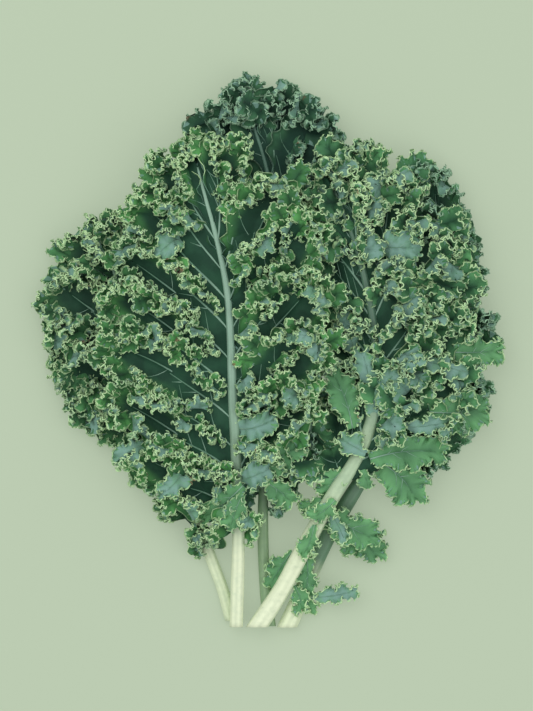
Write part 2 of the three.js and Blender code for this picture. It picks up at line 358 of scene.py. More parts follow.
TURNS = ("Middle Starts", "Middle Whole", "Tip Starts", "Tip Whole")
stalk_flesh = Effect("stalk_flesh", ("Cut End", "Middle", "Tip", "Streak"), TURNS, ("Colour", "Height"))
given = stalk_flesh.given
along = stalk_flesh.attribute("along")
to_middle = stalk_flesh.ramp(along, given["Middle Starts"], given["Middle Whole"], 0, 1, "LINEAR")
to_tip = stalk_flesh.ramp(along, given["Tip Starts"], given["Tip Whole"], 0, 1, "LINEAR")
base = stalk_flesh.mix(to_middle, given["Cut End"], given["Middle"])
base = stalk_flesh.mix(to_tip, base, given["Tip"])
streaked = stalk_flesh.mix(stalk_flesh.attribute("streak"), base, given["Streak"])
mottle = stalk_flesh.cloud(260, 4)
mottled = stalk_flesh.mix(stalk_flesh.ramp(mottle, 0.45, 0.75, 0, 0.2, "LINEAR"), streaked, given["Tip"])
stalk_flesh.put_out({"Colour": mottled, "Height": mottle})


def stalk_material(name, cut_end, middle, tip, turns=(0.16, 0.32, 0.36, 0.55)):
    """Pale juicy flesh with fine streaks along it. Its colour turns twice, between the shares in turns."""
    streak = tuple(STREAK_DARK * c for c in middle)
    values = {"Cut End": cut_end, "Middle": middle, "Tip": tip, "Streak": streak, **dict(zip(TURNS, turns))}
    material, shader = painted(name, stalk_flesh, values, 0.25, 0.0004)[:2]
    shader.inputs["Roughness"].default_value = 0.42
    shader.inputs["Specular IOR Level"].default_value = 0.4
    return material


stalk_paint = {
    # The left front stalk's middle colour is darker than its tip: painted shade where the frills lie over the
    # midrib, on its own green.
    "front_left": stalk_material(
        "stalk_flesh_and_painted_shade_left", (0.78, 0.86, 0.60), (0.24, 0.37, 0.25), (0.27, 0.44, 0.33)
    ),
    "front_right": stalk_material(
        "stalk_flesh_right",
        (0.8, 0.88, 0.62),
        (0.42, 0.57, 0.37),
        (0.08, 0.18, 0.12),
        (0.2, 0.36, 0.47, 0.56),
    ),
    "back_middle": stalk_material(
        "stalk_flesh_middle", (0.30, 0.45, 0.25), (0.15, 0.30, 0.16), (0.10, 0.22, 0.16)
    ),
    "back_left": stalk_material(
        "stalk_flesh_back_left", (0.70, 0.80, 0.54), (0.38, 0.53, 0.32), (0.2, 0.36, 0.25)
    ),
    "back_right": stalk_material(
        "stalk_flesh_back_right",
        (0.76, 0.85, 0.58),
        (0.13, 0.25, 0.15),
        (0.12, 0.24, 0.16),
        (0.1, 0.17, 0.3, 0.5),
    ),
}

ribs = {}
for name, leaf in LEAVES.items():
    rib = Rib(through(leaf["rib"], np.linspace(0, 1, 400)))
    ribs[name] = rib
    draw = np.random.default_rng(leaf["seed"])
    thick, thin = leaf["radius"]
    phases = draw.uniform(0, 2 * np.pi, 3)

    def stalk_radius(v, thick=thick, thin=thin):
        return thin + (thick - thin) * (1 - v**STALK_TAPER)

    def ridged(v, angle, phases=phases):
        flutes = np.sin(RIDGES * angle + phases[0] + 1.2 * np.sin(5 * v + phases[1]))
        top = np.maximum(0, np.sin(angle)) ** 6
        return 1 + RIDGE_HEIGHT * flutes - 0.12 * top + 0.02 * np.sin(40 * v + 2 * angle + phases[2])

    points, faces, share = tube(rib, stalk_radius, STALK_STEPS, STALK_SIDES, STALK_FLATTENING, ridged)
    heading = rib.tangent(share)
    fade = 1 - np.minimum(1, share / CUT_SHARE)
    points += heading * (fade * (rib.at(share)[:, 1] - points[:, 1]) / heading[:, 1])[:, None]
    points[:, 2] = np.maximum(points[:, 2], 0.02)
    angle = np.tile(2 * np.pi * (np.arange(STALK_SIDES) + 0.5) / STALK_SIDES, STALK_STEPS)
    streak = np.concatenate([0.5 - 0.5 * np.sin(RIDGES * angle + phases[0]), [0, 0]]) * STREAK_SHOWS
    numbers = {"along": share, "streak": streak}
    stalk = mesh_piece(f"stalk_{name}_skin", points, faces, numbers, stalk_paint[name], 2 * STALK_SIDES)
    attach(stalk, "root")
    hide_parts(f"stalk_{name}")

# Laminae. Each half of a leaf's blade is a smooth dark web along the midrib that parts into overlapping
# lobes, each with a vein of its own. The sheet is thin and a little puckered, and it grew from the midrib.
RAY_FOOT_ANGLE = math.radians(100)
RIB_ENDS_AT = 0.93
WEB_REACH = 0.5
WEB_SWELL = 7.0
WEB_DROP = 5.0
WEB_STEPS = 120
WEB_VEINS = 10
PUCKER = 1.3
WEB_ROWS = np.array([1, 0.8, 0.6, 0.4, 0.2, 0.0])
LOBE_FOOT_ANGLE = math.radians(112)
LOBE_VEIN_ENDS_AT = 0.84
LOBE_WIDTHS = (0.16, 0.46, 0.72, 0.92, 1.0, 0.92, 0.66)
LOBE_FORWARD = 0.85
LOBE_PLUMPNESS = 0.5
LOBE_SHORT = 10.0
LOBE_ROWS = np.array([1, 0.88, 0.7, 0.45, 0.2, 0])
LOBE_STEP = 3.6
MIDRIB_SHOWS = 3.0
# The bunch's outline seen from above: no lobe or fan grows far over it.
BUNCH_EDGE = np.array([
    (-155, 200), (-150, 184), (-147, 168), (-137, 149), (-120, 139), (-105, 131), (-92, 110), (-78, 85),
    (-62, 77), (-50, 58), (-40, 52), (-34, 66), (-14, 60), (0, 64), (2, 84), (20, 83), (30, 78), (34, 60),
    (24, 40), (24, 6), (66, 12), (88, 40), (86, 66), (70, 90), (74, 101), (94, 86), (108, 92), (119, 104),
    (130, 121), (141, 130), (149, 145), (155, 160), (162, 178), (163, 200), (158, 222), (150, 242),
    (147, 258), (142, 276), (136, 294), (132, 312), (122, 323), (96, 324), (78, 332), (60, 338), (48, 354),
    (34, 368), (12, 379), (-20, 380), (-35, 367), (-52, 353), (-66, 337), (-84, 318), (-102, 303),
    (-122, 285), (-142, 272), (-158, 252), (-163, 228), (-162, 210),
])
# A ruffle's length along the margin, its height, its sway in and out, how much of a row it folds back over
# itself, and how far in from the margin it fades, as a share of the way to the vein.
LOBE_RUFFLES = ({"length": 16.0, "height": 2.0, "sway": 1.6, "fold": 0.0, "inward": 0.95},)
LAMINA_THICKNESS = 0.5
# No blade lies lower over the table than this. The bunch is pressed a little flat from the next height on.
LOWEST = 0.4
PRESSED_FROM = 60
PRESSED_BY = 11
# A lobe that comes so near to the bunch's edge is made shorter by this share, again and again.
EDGE_MARGIN = 5
SHORTER = 0.94
END_LOBE_REACH = 20
CURVE_STEPS = 60


def inside(outline, place):
    """Whether a place, seen from above, lies inside an outline."""
    a, b = outline, np.roll(outline, -1, axis=0)
    crosses = (a[:, 1] > place[1]) != (b[:, 1] > place[1])
    rise = np.where(crosses, b[:, 1] - a[:, 1], 1)
    across = a[:, 0] + (place[1] - a[:, 1]) * (b[:, 0] - a[:, 0]) / rise
    return np.count_nonzero(crosses & (place[0] < across)) % 2 == 1


def outline_point(leaf, rib, side, s, short=0.0):
    """The plain outline of a half blade at s: its place, the rib's share there and the reach."""
    half = leaf["left"] if side > 0 else leaf["right"]
    v = leaf["blade_from"] + (1 - leaf["blade_from"]) * np.minimum(1, s / RIB_ENDS_AT)
    heading, leftward = rib.level(v)
    angle = (RAY_FOOT_ANGLE * (1 - s**3))[..., None]
    reach = np.maximum(through(half["reach"], s) - short, 6)
    ray = heading * np.cos(angle) + side * leftward * np.sin(angle)
    place = rib.at(v) + ray * reach[..., None]
    place[..., 2] += through(half["rise"], s) - leaf["drop"] * np.minimum(1, 4 * s)
    return place, v, reach


def bend(a, b, c, steps=24):
    """A curved vein from a to c, drawn towards b."""
    q = np.linspace(0, 1, steps)[:, None]
    return Rib((1 - q) ** 2 * a + 2 * q * (1 - q) * b + q**2 * c)


def lobes_of(leaf, rib, side, draw):
    """The lobes of a half blade, each with its vein's curve and its half width."""
    half = leaf["left"] if side > 0 else leaf["right"]
    s = np.linspace(0, 1, 200)
    outline = outline_point(leaf, rib, side, s)[0]
    arc = arc_length(outline)
    spacing = arc[-1] / half["lobes"]
    for k in range(half["lobes"]):
        s_here = np.interp((k + draw.uniform(-0.15, 0.15)) * spacing, arc, s)
        size = min(1, through(half["reach"], s_here) / 40)
        half_width = LOBE_PLUMPNESS * spacing * (0.3 + 0.7 * size) * draw.uniform(0.85, 1.15)
        short = LOBE_SHORT * size + LOBE_WIDTHS[-1] * half_width
        end, v, reach = (found[0] for found in outline_point(leaf, rib, side, np.array([s_here]), short))
        back = LOBE_FORWARD * reach * (1 - s_here**4) * draw.uniform(0.9, 1.1)
        start_v = max(v - back / rib.length, leaf["blade_from"] - 0.02)
        heading, leftward = (x[0] for x in rib.level(np.array([start_v])))
        start = rib.at(np.array([start_v]))[0] + side * leftward * 2 - (0, 0, 4)
        length = np.linalg.norm((end - start)[:2])
        beyond = LOBE_WIDTHS[-1] * half_width + EDGE_MARGIN
        while length > 12 and not inside(BUNCH_EDGE, (start + (end - start) * (1 + beyond / length))[:2]):
            end = start + SHORTER * (end - start)
            length *= SHORTER
        out_angle = math.radians(draw.uniform(32, 50))
        out = heading * math.cos(out_angle) + side * leftward * math.sin(out_angle)
        control = start + 0.5 * length * out
        control[2] += 0.25 * (end[2] - start[2]) + draw.uniform(-0.5, 1.5)
        end = end + (0, 0, draw.uniform(-1.5, 1.5))
        if end[1] < leaf["lobes_above"]:
            continue
        yield {
            "vein": bend(start, control, end, CURVE_STEPS),
            "half_width": half_width,
            "distal": -side,
            "midrib": (rib, side) if leaf["midrib_shows"] else None,
            "size": size,
            "calm": s_here < leaf["calm_until"],
        }


def end_lobe_of(leaf, rib):
    """The lobe at the leaf's tip, round the midrib's end."""
    end = outline_point(leaf, rib, 1, np.array([1.0]), END_LOBE_REACH)[0][0]
    start = rib.at(np.array([0.88]))[0]
    while not inside(BUNCH_EDGE, (end + END_LOBE_REACH * unit(end - start))[:2]):
        end = start + SHORTER * (end - start)
    middle = rib.at(np.array([0.96]))[0]
    vein = bend(start, middle, end, CURVE_STEPS)
    return {"vein": vein, "half_width": 15.0, "distal": 1, "midrib": None, "size": 0.8, "calm": False}


def vein_sheet(vein, across, half_width, widths, foot_angle, rows, u):
    """A rounded sheet on a vein: rows of points from the margin in to the vein, for u round the margin."""
    sigma = np.where(u < 0.5, 1.0, -1.0)
    s = 1 - np.abs(2 * u - 1)
    v = np.minimum(1, s / LOBE_VEIN_ENDS_AT)
    heading = vein.tangent(v)
    if across is None:
        across = vein.level(v)[1]
    sideways = unit(across - heading * (across * heading).sum(axis=-1, keepdims=True))
    angle = (foot_angle * (1 - s**2.2))[:, None]
    ray = heading * np.cos(angle) + sigma[:, None] * sideways * np.sin(angle)
    reach = half_width * through(widths, s)
    points = vein.at(v)[:, None, :] + ray[:, None, :] * reach[:, None, None] * rows[None, :, None]
    return points, reach, sigma, s


def beside_midrib(points, rib, side):
    """Pushes the points that would cross the midrib back to its side."""
    flat = rib.points[::4, :2]
    leftward = rib.level(rib.share[::4])[1][:, :2]
    gap = points[:, :, None, :2] - flat
    nearest = np.argmin((gap**2).sum(axis=-1), axis=-1)
    gap = np.take_along_axis(gap, nearest[..., None, None], axis=2)[:, :, 0]
    away = side * (gap * leftward[nearest]).sum(-1)
    push = np.maximum(0, MIDRIB_SHOWS - away)
    points[..., :2] += side * push[..., None] * leftward[nearest]


def surface_normals(points):
    """The unit direction square to a grid of points, and the unit direction along its rows."""
    onward = np.gradient(points, axis=0)
    inward = np.gradient(points, axis=1)
    normals = unit(np.cross(onward, inward))
    normals[:, -1] = unit(normals[:, -2] + normals[::-1, -2])
    return normals, unit(onward)


def ruffled(points, reach, rows, grown, phase_length, spec, offsets):
    """Waves of one size, square to the sheet as it is bent already."""
    normals, onward = surface_normals(points)
    outward = unit(points[:, 0] - points[:, -1])
    turns = phase_length / spec["length"]
    phase = 2 * np.pi * turns + 1.1 * np.sin(2 * np.pi * turns / 3.7 + offsets[0])
    phase = phase + 0.6 * np.sin(2 * np.pi * turns / 1.9 + offsets[1])
    growth = np.minimum(1, reach / grown) * (1 + 0.35 * np.sin(2 * np.pi * turns / 2.6 + offsets[2]))
    fade = np.clip(1 - (1 - rows) / spec["inward"], 0, 1) ** 1.6
    wave = (spec["height"] * growth * np.sin(phase))[:, None] * fade[None, :]
    fold = (spec["fold"] * spec["length"] * np.sin(2 * phase))[:, None] * fade[None, :]
    sway = (spec["sway"] * growth * np.cos(phase))[:, None] * fade[None, :]
    return points + normals * wave[..., None] - onward * fold[..., None] + outward[:, None] * sway[..., None]


def ruffle_all(make, rows, ruffles, grown, step, unit_columns, draw, samples):
    """A sheet with all its ruffles, its columns spaced evenly along the ruffled margin."""
    offsets = draw.uniform(0, 2 * np.pi, (len(ruffles), 3))
    u = np.linspace(0, 1, samples)
    points, reach = make(u)
    lengths = []
    for spec, offset in zip(ruffles, offsets):
        lengths.append(arc_length(points[:, 0]))
        points = ruffled(points, reach, rows, grown, lengths[-1], spec, offset)
    whole = arc_length(points[:, 0])
    columns = max(1, round(whole[-1] / step / unit_columns)) * unit_columns
    fine_u = np.interp(np.linspace(0, whole[-1], columns + 1), whole, u)
    points, reach = make(fine_u)
    for spec, offset, length in zip(ruffles, offsets, lengths):
        points = ruffled(points, reach, rows, grown, np.interp(fine_u, u, length), spec, offset)
    points[..., 2] = np.maximum(points[..., 2], LOWEST)
    over = np.maximum(points[..., 2] - PRESSED_FROM, 0)
    points[..., 2] += PRESSED_BY * np.tanh(over / PRESSED_BY) - over
    return points, reach


def lobe_sheet(lobe, draw):
    """The smooth sheet of a lobe, its upper edge lifted over the next lobe."""

    def make(u):
        points, reach, sigma, s = vein_sheet(
            lobe["vein"], None, lobe["half_width"], LOBE_WIDTHS, LOBE_FOOT_ANGLE, LOBE_ROWS, u
        )
        t = LOBE_ROWS[None, :]
        distal = (sigma == lobe["distal"])[:, None]
        grown = np.minimum(1, reach / 14)[:, None]
        tilt = np.where(distal, 4.5, -0.5) * t**1.3 * grown * np.sin(np.pi * np.clip(s, 0, 0.5))[:, None]
        points[..., 2] += 0.6 + 2.5 * t**2.5 * grown + tilt
        if lobe["midrib"]:
            beside_midrib(points, *lobe["midrib"])
        return points, np.linalg.norm(points[:, 0] - points[:, -1], axis=1)

    return ruffle_all(make, LOBE_ROWS, LOBE_RUFFLES, 14, LOBE_STEP, 2, draw, 400)


def web_sheet(leaf, rib, side):
    """The smooth web beside the midrib, as a grid from its outer edge in to the midrib."""
    s = np.linspace(leaf["web_from"], 0.97, WEB_STEPS + 1)
    outer, v = outline_point(leaf, rib, side, s)[:2]
    inner = rib.at(v)
    t = WEB_ROWS[None, :, None]
    widening = np.minimum(1, 0.1 + 9 * (s - s[0])) ** 0.7
    points = inner[:, None] + (outer - inner)[:, None] * t * WEB_REACH * widening[:, None, None]
    beside_vein = WEB_VEINS / 0.8 * (s[:, None] - 0.03 - 0.15 * np.maximum(0, t[..., 0]) ** 0.8)
    pucker = PUCKER * np.abs(np.sin(np.pi * beside_vein)) * np.sin(np.pi * np.minimum(1, t[..., 0] + 0.15))
    points[..., 2] += pucker - 0.6 + WEB_SWELL * t[..., 0] * (1 - t[..., 0]) - WEB_DROP * t[..., 0] ** 3
    points[..., 2] = np.maximum(points[..., 2], LOWEST)
    return points if side > 0 else points[::-1]


def join_rows(inner, outer):
    """Triangles between a row and the next one out, which has one, two, four or eight times the spaces."""
    finer = (len(outer) - 1) // (len(inner) - 1)
    if finer == 1:
        a, b = inner[:-1], inner[1:]
        c, d = outer[:-1], outer[1:]
        return np.concatenate([np.stack([a, b, c], 1), np.stack([b, d, c], 1)])
    triangles = []
    middle = finer // 2
    for k in range(finer):
        corner = inner[:-1] if k < middle else inner[1:]
        ahead, behind = outer[k + 1 :: finer][: len(corner)], outer[k::finer][: len(corner)]
        triangles.append(np.stack([corner, ahead, behind], 1))
    triangles.append(np.stack([inner[:-1], inner[1:], outer[middle::finer][: len(inner) - 1]], 1))
    return np.concatenate(triangles)


def thick_sheet(points, thickness, upper_strides, lower_strides):
    """Both faces and the edge of a sheet on a grid of points. A row's stride says which points it keeps."""
    normals = surface_normals(points)[0]
    half = normals * np.reshape(thickness, (1, -1, 1)) / 2
    columns = points.shape[0] - 1
    placed, faces, numbers, count = [], [], {}, 0
    for face, (shift, strides) in enumerate(((-half, upper_strides), (half, lower_strides))):
        for j in range(points.shape[1]):
            picked = np.arange(0, columns + 1, strides[j])
            row, which = np.full(len(picked), j), np.full(len(picked), face)
            placed.append(((points + shift)[picked, j], picked, row, which))
            numbers[face, j] = count + np.arange(len(picked))
            count += len(picked)
        for j in range(points.shape[1] - 1):
            triangles = join_rows(numbers[face, j + 1], numbers[face, j])
            faces.append(triangles if face else triangles[:, ::-1])
    last = points.shape[1] - 1
    rims = []
    for face in (0, 1):
        down = [numbers[face, j][-1] for j in range(1, last)]
        back = [numbers[face, j][0] for j in range(last - 1, 0, -1)]
        rims.append(np.concatenate([numbers[face, 0], down, numbers[face, last][::-1], back]).astype(int))
    upper, lower = rims
    upper_next, lower_next = np.roll(upper, -1), np.roll(lower, -1)
    faces.append(np.stack([upper, upper_next, lower_next], 1))
    faces.append(np.stack([upper, lower_next, lower], 1))
    where = [np.concatenate(parts) for parts in zip(*placed)]
    return where[0], np.concatenate(faces), where[1], where[2], where[3]


def gathered(parts):
    """Joins parts, each with its points, its faces and named numbers, into one set."""
    faces, offset = [], 0
    for part in parts:
        faces.append(part["faces"] + offset)
        offset += len(part["points"])
    numbers = {key: np.concatenate([part["numbers"][key] for part in parts]) for key in parts[0]["numbers"]}
    return np.concatenate([part["points"] for part in parts]), np.concatenate(faces), numbers


def from_foot(points):
    """How far round each column of a sheet is, from 0 at both sides of its foot to 1 at its tip."""
    return 1 - np.abs(2 * np.arange(len(points)) / (len(points) - 1) - 1)


def leaf_part(points, inward, thickness, upper_strides, lower_strides, shade):
    """A thick sheet with the numbers that its material needs: how far in, which face and its shade."""
    where, faces, column, row, face = thick_sheet(points, thickness, upper_strides, lower_strides)
    numbers = {"inward": inward[column, row], "under": face, "shade": np.full(len(where), shade)}
    return {"points": where, "faces": faces, "numbers": numbers}


leaf_skin = Effect("leaf_skin", ("Deep", "Bright", "Under", "Rim"), (), ("Colour", "Height", "Roughness"))
given, cloud = leaf_skin.given, leaf_skin.cloud
mix, ramp, times = leaf_skin.mix, leaf_skin.ramp, leaf_skin.times
inward = leaf_skin.attribute("inward")
patches = cloud(55, 3)
young = times(ramp(inward, 1, 12, 1, 0), ramp(patches, 0.3, 0.7, 0.55, 1))
young = times(young, ramp(leaf_skin.attribute("shade"), 0, 1, 0.55, 1))
# Random darker patches on the deep colour are painted shade, standing in for the shading of the puckered web
# between its veins.
deep_with_painted_shade = mix(ramp(cloud(75, 4), 0.38, 0.6, 0.6, 0), given["Deep"], (0.45, 0.5, 0.55), "MULTIPLY")
flesh = mix(young, deep_with_painted_shade, given["Bright"])
bloom = mix(ramp(cloud(140, 3), 0.4, 0.68, 0, 0.5), given["Under"], flesh)
flesh = mix(leaf_skin.attribute("under"), flesh, bloom)
edge = times(ramp(inward, 0.1, 0.75, 1, 0), ramp(patches, 0.3, 0.6, 0.6, 1))
flesh = mix(edge, flesh, given["Rim"])
dry = times(ramp(inward, 0.5, 2.5, 1, 0), ramp(cloud(60, 1), 0.745, 0.775, 0, 0.9))
flesh = mix(dry, flesh, (0.20, 0.125, 0.07))
waxy = ramp(patches, 0.2, 0.8, 0.62, 0.75)
leaf_skin.put_out({"Colour": flesh, "Height": cloud(900, 2), "Roughness": waxy})


def leaf_material(name, deep, bright, under, rim):
    """A waxy leaf skin: dark and smooth inside, brighter towards the margin, bluish underneath."""
    values = {"Deep": deep, "Bright": bright, "Under": under, "Rim": rim}
    material, shader, skin, links = painted(name, leaf_skin, values, 0.35, 0.0003)
    links.new(skin.outputs["Roughness"], shader.inputs["Roughness"])
    shader.inputs["Specular IOR Level"].default_value = 0.16
    shader.inputs["Sheen Weight"].default_value = 0.08
    shader.inputs["Sheen Tint"].default_value = (0.7, 0.9, 0.85, 1)
    return material


# The colours of the thin rim along a margin, of the same rim darker as painted shade, and of the undersides.
RIM = (0.55, 0.78, 0.42)
RIM_IN_PAINTED_SHADE = (0.34, 0.55, 0.36)
UNDER = (0.20, 0.36, 0.30)
blade_paint = {
    "front_left": leaf_material("leaf_front_left", (0.020, 0.075, 0.041), (0.125, 0.40, 0.115), UNDER, RIM),
    "front_right": leaf_material("leaf_front_right", (0.023, 0.082, 0.045), (0.13, 0.38, 0.15), UNDER, RIM),
    # The leaves behind are darker than the front ones, which is painted shade for lying under them. The
    # middle and right ones also have a rim in painted shade.
    "back_middle": leaf_material("leaf_back_middle", (0.018, 0.062, 0.04), (0.08, 0.23, 0.11), UNDER, RIM_IN_PAINTED_SHADE),
    "back_left": leaf_material("leaf_back_left", (0.022, 0.075, 0.042), (0.11, 0.33, 0.12), UNDER, RIM),
    "back_right": leaf_material("leaf_back_right", (0.022, 0.075, 0.042), (0.09, 0.27, 0.11), UNDER, RIM_IN_PAINTED_SHADE),
}

LOBE_STRIDES = (1, 1, 1, 2, 2, 2)
WEB_STRIDES = (1,) * len(WEB_ROWS)
lobe_grids = {}
web_grids = {}
for name, leaf in LEAVES.items():
    rib = ribs[name]
    draw = np.random.default_rng(leaf["seed"] + 100)
    parts = []
    for side in (1, -1):
        web = web_sheet(leaf, rib, side)
        web_grids[name, side] = web
        inward = np.full(web.shape[:2], 15.0)
        parts.append(leaf_part(web, inward, LAMINA_THICKNESS, WEB_STRIDES, WEB_STRIDES, 0.5))
        lobes = list(lobes_of(leaf, rib, side, draw))
        if side == 1:
            lobes.append(end_lobe_of(leaf, rib))
        lobe_grids[name, side] = []
        for lobe in lobes:
            points, reach = lobe_sheet(lobe, draw)
            lobe_grids[name, side].append((lobe, points))
            inward = (1 - LOBE_ROWS)[None, :] * reach[:, None]
            inward = inward + 12 * np.clip(1.5 - 5 * from_foot(points), 0, 1)[:, None]
            shade = draw.uniform(0, 1)
            parts.append(leaf_part(points, inward, LAMINA_THICKNESS, LOBE_STRIDES, LOBE_STRIDES, shade))
    points, faces, numbers = gathered(parts)
    lamina = mesh_piece(f"lamina_{name}", points, faces, numbers, blade_paint[name])
    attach(lamina, "root")
    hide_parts(f"blade_{name}")

# Veins. A pale vein runs out from the midrib into each lobe and forks towards its edge, and finer ones cross
# the web. They stand a little proud of the leaf.
VEIN_RADIUS = (0.95, 0.3)
BRANCH_RADIUS = (0.42, 0.14)
WEB_VEIN_RADIUS = (1.15, 0.4)
WEB_BRANCH_RADIUS = (0.5, 0.2)
BRANCHES = 2

vein_paint = stalk_material("vein_flesh", (0.25, 0.41, 0.31), (0.19, 0.34, 0.25), (0.12, 0.26, 0.17))


def on_grid(points, rows, place, t):
    """Points on a grid of rows, at shares of its columns and at t from the vein to the margin."""
    column = np.clip(place, 0, 1) * (len(points) - 1)
    i = np.minimum(column.astype(int), len(points) - 2)
    f = (column - i)[:, None]
    at_rows = points[i] * (1 - f[..., None]) + points[i + 1] * f[..., None]
    order = rows[::-1]
    flipped = at_rows[:, ::-1]
    return np.stack([[np.interp(at, order, row[:, k]) for k in range(3)] for at, row in zip(t, flipped)])


def vein_part(path, radius_at, sides):
    """A vein along a path, with the numbers that its material needs."""
    points, faces, share = tube(Rib(path), radius_at, len(path), sides)
    points[:, 2] = np.maximum(points[:, 2], LOWEST)
    return {"points": points, "faces": faces, "numbers": {"along": share, "streak": share * 0}}


for name, leaf in LEAVES.items():
    draw = np.random.default_rng(leaf["seed"] + 300)
    parts = []

    def add_vein(path, radius, sides):
        thick, thin = radius

        def radius_at(v):
            return (thick + (thin - thick) * v) * np.minimum(1, 0.3 + 3.5 * v)

        parts.append(vein_part(path, radius_at, sides))

    for side in (1, -1):
        for lobe, points in lobe_grids[name, side]:
            v = np.linspace(0.5, 0.97, 10)
            raised = lobe["vein"].at(v)
            raised[:, 2] += 0.85
            add_vein(raised, (0.7 * VEIN_RADIUS[0] * lobe["size"] + 0.1, VEIN_RADIUS[1]), 5)
            for half in (0, 1):
                for k in range(BRANCHES):
                    s0 = 0.14 + 0.6 * (k + draw.uniform(-0.2, 0.2)) / BRANCHES
                    s1 = min(0.97, s0 + draw.uniform(0.1, 0.22))
                    q = np.linspace(0, 1, 7)
                    s = s0 + (s1 - s0) * q**1.3
                    place = s / 2 if half == 0 else 1 - s / 2
                    path = on_grid(points, LOBE_ROWS, place, 0.9 * q) + (0, 0, 0.3)
                    add_vein(path, BRANCH_RADIUS, 4)
        web = web_grids[name, side]
        for k in range(WEB_VEINS):
            start_s = 0.03 + 0.8 * k / WEB_VEINS
            q = np.linspace(0, 1, 12)
            s, t = start_s + 0.15 * q**0.8, 0.02 + 0.95 * q
            path = on_grid(web, WEB_ROWS, s if side > 0 else 1 - s, t) + (0, 0, 0.3)
            size = 0.5 + 0.5 * draw.uniform(0.4, 1)
            add_vein(path, (WEB_VEIN_RADIUS[0] * size, WEB_VEIN_RADIUS[1] * size), 5)
            for fork in (0.3, 0.52, 0.74):
                w = np.linspace(0, 1, 6)
                onward, across = ((0.075, 0.06), (0.005, 0.24))[draw.integers(2)]
                s = start_s + 0.15 * fork**0.8 + onward * w
                t = np.minimum(0.98, 0.02 + 0.95 * fork + across * w)
                path = on_grid(web, WEB_ROWS, s if side > 0 else 1 - s, t) + (0, 0, 0.25)
                add_vein(path, WEB_BRANCH_RADIUS, 4)
    points, faces, numbers = gathered(parts)
    veins = mesh_piece(f"veins_{name}", points, faces, numbers, vein_paint)
    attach(veins, "root")

# Frills. Along its edge each lobe breaks up into small fans that stand up, lean over one another and curl
# back over the lobe. Their margins are crimped twice over and end in a thin pale rim.
FAN_WIDTHS = (0.45, 0.7, 0.9, 1.0, 1.0, 0.9, 0.7)
FAN_FOOT_ANGLE = math.radians(100)
FAN_ROWS = np.array([1, 0.94, 0.84, 0.66, 0.4, 0])
FAN_RUFFLES = (
    {"length": 8.8, "height": 2.8, "sway": 1.8, "fold": 0.04, "inward": 0.9},
    {"length": 3.9, "height": 1.25, "sway": 0.3, "fold": 0.07, "inward": 0.45},
)
FAN_GROWN = 5.0
FAN_UPPER = (1, 2, 4, 4, 8, 8)
FAN_LOWER = (1, 8, 8, 8, 8, 8)
FAN_FOOT = 0.72
RIM_THICKNESS = 0.7
FAN_THICKNESS = 0.42
SMALLEST_FAN = 3.5
# The length of a fan, as a share of half its width, and over how many degrees the fans turn sideways.
FAN_LENGTH = 1.75
YAWS = 70
# Which share of the fans leans less than each angle of a leaf's leans.
LEAN_SHARES = (0, 0.15, 0.7, 0.88, 1)
# The leaves behind have no frills where the front leaves cover them, from so far inside the front outlines.
HIDDEN_FROM = 22


def fan_sheet(vein, across, half_width, ruffles, grown, step, draw):
    """A ruffled fan on a curved vein."""

    def make(u):
        return vein_sheet(vein, across[None, :], half_width, FAN_WIDTHS, FAN_FOOT_ANGLE, FAN_ROWS, u)[:2]

    return ruffle_all(make, FAN_ROWS, ruffles, grown, step, 8, draw, 360)


def finer(ruffles, share, height=1.0):
    """The same ruffles at another size."""
    sizes = {"length": share, "height": share * height, "sway": share}
    return [dict(spec, **{key: spec[key] * size for key, size in sizes.items()}) for spec in ruffles]


def fan_vein(foot, level, upward, lean, length):
    """The vein of a small fan that stands up from the lobe's edge and curls back over it."""
    early = lean * 0.45
    control = foot + 0.5 * length * (math.cos(early) * level + math.sin(early) * upward)
    end = control + 0.5 * length * (math.cos(lean * 1.3) * level + math.sin(lean * 1.3) * upward)
    return bend(foot, control, end)


def fans_of(lobe, points, leaf, draw):
    """The fans along the edge of a lobe's sheet, whose rows run from its margin in to its vein."""
    margin = points[:, 0]
    arc = arc_length(margin)
    columns = len(margin) - 1
    turned = from_foot(points)
    spacing = leaf["fan_spacing"] * (0.55 + 0.45 * lobe["size"])
    place = draw.uniform(0, spacing)
    row = int(np.argmin(np.abs(LOBE_ROWS - FAN_FOOT)))
    while place < arc[-1]:
        i = int(np.interp(place, arc, np.arange(columns + 1)))
        place += spacing * draw.uniform(0.75, 1.25)
        lean, yaw, size, shade = draw.uniform(0, 1, 7)[:4]
        if turned[i] < leaf["fans_start"]:
            continue
        foot = points[i, row] - (0, 0, 0.3)
        outward = unit(margin[i] - points[i, -1])
        before, after = margin[max(i - 2, 0)], margin[min(i + 2, columns)]
        onward = unit(after - before)
        onward = unit(onward - outward * (onward * outward).sum())
        upward = np.cross(onward, outward)
        if upward[2] < 0:
            onward, upward = -onward, -upward
        lean = math.radians(np.interp(lean, LEAN_SHARES, leaf["leans"]))
        yaw = math.radians(YAWS * (yaw - 0.5))
        size = leaf["fan_size"] * (0.6 + 0.4 * lobe["size"]) * (0.75 + 0.5 * size)
        ruffles = finer(FAN_RUFFLES, leaf["fan_loops"])
        if lobe["calm"]:
            lean = 0.45 * lean
            size = 1.45 * size
            ruffles = finer(FAN_RUFFLES, 1.25, 0.7)
        level = math.cos(yaw) * outward + math.sin(yaw) * onward
        across = math.sin(yaw) * outward - math.cos(yaw) * onward
        yield (foot, level, upward, lean, FAN_LENGTH * size), across, size, ruffles, shade


